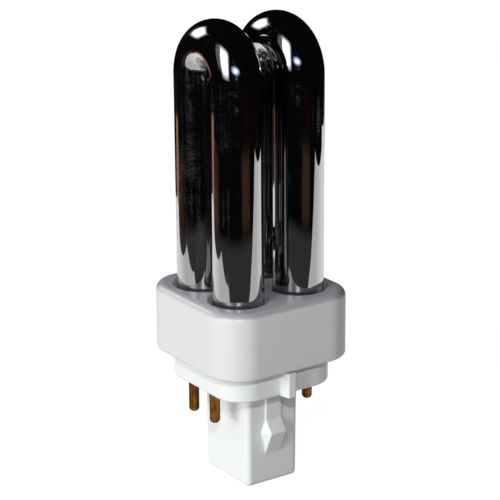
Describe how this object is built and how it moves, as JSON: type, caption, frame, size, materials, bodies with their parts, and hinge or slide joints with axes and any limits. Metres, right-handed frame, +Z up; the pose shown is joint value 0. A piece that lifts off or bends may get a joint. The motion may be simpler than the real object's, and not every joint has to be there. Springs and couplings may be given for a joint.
{
  "type": "quad-tube black-light lamp",
  "caption": "Compact fluorescent black-light lamp: parallel black glass U-tubes in a white rounded-square collar, on a plug base with a latch post and brass contact pins.",
  "frame": {"origin": "centre of the contact pins on the seating face, the underside of the base's flange", "axes": "+Z up along the lamp from the base to the bends, +X towards the key rib, the two U-tubes one behind the other along Y"},
  "size_m": [0.0364, 0.0364, 0.1102],
  "materials": {
    "black_glass": "glossy, nearly opaque violet-black filter glass",
    "collar_plastic": "satin moulded neutral white",
    "base_plastic": "satin moulded cool white",
    "pin_brass": "dull drawn brass",
    "wire_metal": "plain drawn wire",
    "cement": "dark matt cement"
  },
  "bodies": {
    "root": {"discharge_tube": "black_glass", "tube_collar": "collar_plastic", "base_cap": "base_plastic", "cement_ring_1": "cement", "cement_ring_2": "cement", "cement_ring_3": "cement", "cement_ring_4": "cement", "contact_pin_1": "pin_brass", "contact_pin_2": "pin_brass", "contact_pin_3": "pin_brass", "contact_pin_4": "pin_brass", "lead_wire_1": "wire_metal", "lead_wire_2": "wire_metal", "lead_wire_3": "wire_metal", "lead_wire_4": "wire_metal"}
  },
  "joints": []
}
